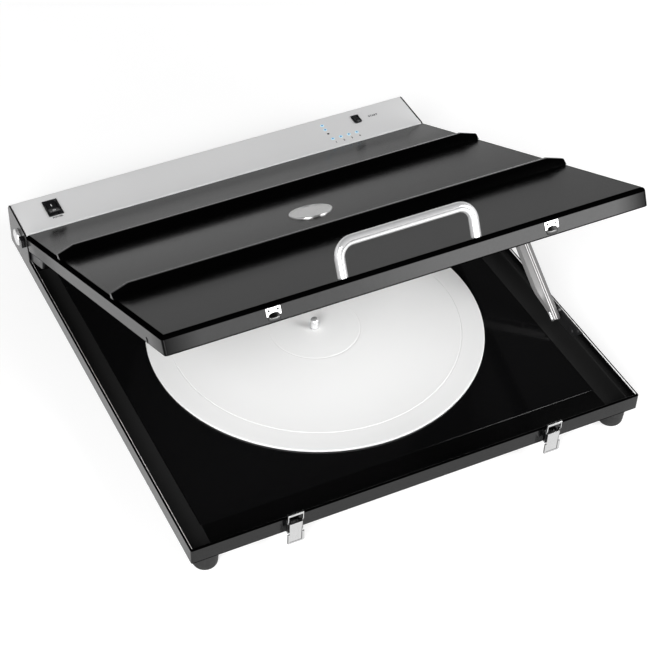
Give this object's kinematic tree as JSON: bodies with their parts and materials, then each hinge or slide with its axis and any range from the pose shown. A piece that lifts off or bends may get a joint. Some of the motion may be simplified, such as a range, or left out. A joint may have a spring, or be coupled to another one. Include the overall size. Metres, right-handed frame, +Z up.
{
  "type": "disc flattener",
  "caption": "Heated flattening press for vinyl records with a hinged lid, a disc on a spindle, a side stay and two draw latches.",
  "frame": {"origin": "centre of the object's outline at the level of its feet, lid open as in the rest pose", "axes": "+Z up, +Y to the rear housing, +X to the side with the stay"},
  "size_m": [0.409, 0.4336, 0.246],
  "materials": {
    "tray_paint": "fine-grained black powder coat",
    "lid_paint": "fine-grained black powder coat",
    "pan_steel": "matt black",
    "insulation": "pressed fibre",
    "heater_mat": "silicone heating mat",
    "bed_black": "gloss black anodised",
    "disc_white": "satin white",
    "chrome": "polished",
    "foot_rubber": "matt",
    "screw_steel": "zinc plated",
    "panel_silver": "satin anodised",
    "light_clear": "clear",
    "switch_black": "black",
    "board_green": "circuit board",
    "supply_case": "bare",
    "stay_silver": "satin",
    "badge_silver": "satin"
  },
  "bodies": {
    "base": {"base_tray": "tray_paint", "bottom_pan": "pan_steel", "lower_insulation": "insulation", "lower_heater": "heater_mat", "bed_plate": "bed_black", "white_disc": "disc_white", "spindle": "chrome", "feet": "foot_rubber", "housing_front": "tray_paint", "control_panel": "panel_silver", "light_guide": "light_clear", "switch_body": "switch_black", "button_bezel": "switch_black", "control_board": "board_green", "board_posts": "screw_steel", "power_supply": "supply_case", "power_inlet": "switch_black", "hinge_pins": "chrome", "stop_left": "switch_black", "stop_right": "switch_black", "latch_bases": "chrome", "stay_bracket": "pan_steel"},
    "lid": {"lid_shell": "lid_paint", "rib_rear": "lid_paint", "rib_front": "lid_paint", "badge": "badge_silver", "handle": "chrome", "press_plate": "bed_black", "upper_heater": "heater_mat", "upper_insulation": "insulation", "hinge_arm_left": "pan_steel", "hinge_arm_right": "pan_steel", "catch_left": "chrome", "catch_right": "chrome", "stay_lid_bracket": "pan_steel"},
    "rocker": {"power_rocker": "switch_black"},
    "button": {"start_button": "switch_black"},
    "stay": {"stay_arm": "stay_silver"},
    "lever_l": {"lever_left": "chrome"},
    "lever_r": {"lever_right": "chrome"},
    "loop_l": {"loop_left": "chrome"},
    "loop_r": {"loop_right": "chrome"}
  },
  "joints": [
    {"name": "lid_hinge", "type": "hinge", "parent": "base", "child": "lid", "pos_m": [0, 0.1858, 0.043], "axis": [-1, 0, 0], "range_deg": [-25.8, 0]},
    {"name": "stay_hinge", "type": "hinge", "parent": "lid", "child": "stay", "pos_m": [0.189, 0.02065, 0.10873], "axis": [-1, 0, 0], "range_deg": [0, 61.02]},
    {"name": "rocker_hinge", "type": "hinge", "parent": "base", "child": "rocker", "pos_m": [-0.1655, 0.19104, 0.05845], "axis": [1, 0, 0], "range_deg": [0, 16]},
    {"name": "button_slide", "type": "slide", "parent": "base", "child": "button", "axis": [0, 0.0383, -0.9993], "range_m": [0, 0.0012], "stiffness_N_per_m": 400},
    {"name": "lever_hinge_l", "type": "hinge", "parent": "base", "child": "lever_l", "pos_m": [-0.1155, -0.2134, 0.03], "axis": [-1, 0, 0], "range_deg": [0, 90]},
    {"name": "loop_hinge_l", "type": "hinge", "parent": "lever_l", "child": "loop_l", "pos_m": [-0.1155, -0.2141, 0.021], "axis": [-1, 0, 0], "range_deg": [-105, 0]},
    {"name": "lever_hinge_r", "type": "hinge", "parent": "base", "child": "lever_r", "pos_m": [0.1155, -0.2134, 0.03], "axis": [-1, 0, 0], "range_deg": [0, 90]},
    {"name": "loop_hinge_r", "type": "hinge", "parent": "lever_r", "child": "loop_r", "pos_m": [0.1155, -0.2141, 0.021], "axis": [-1, 0, 0], "range_deg": [-105, 0]}
  ],
  "couplings": [
    {"joint": "stay_hinge", "follows": "lid_hinge", "ratio": -2.365},
    {"joint": "loop_hinge_l", "follows": "lever_hinge_l", "ratio": -1},
    {"joint": "loop_hinge_r", "follows": "lever_hinge_r", "ratio": -1}
  ]
}
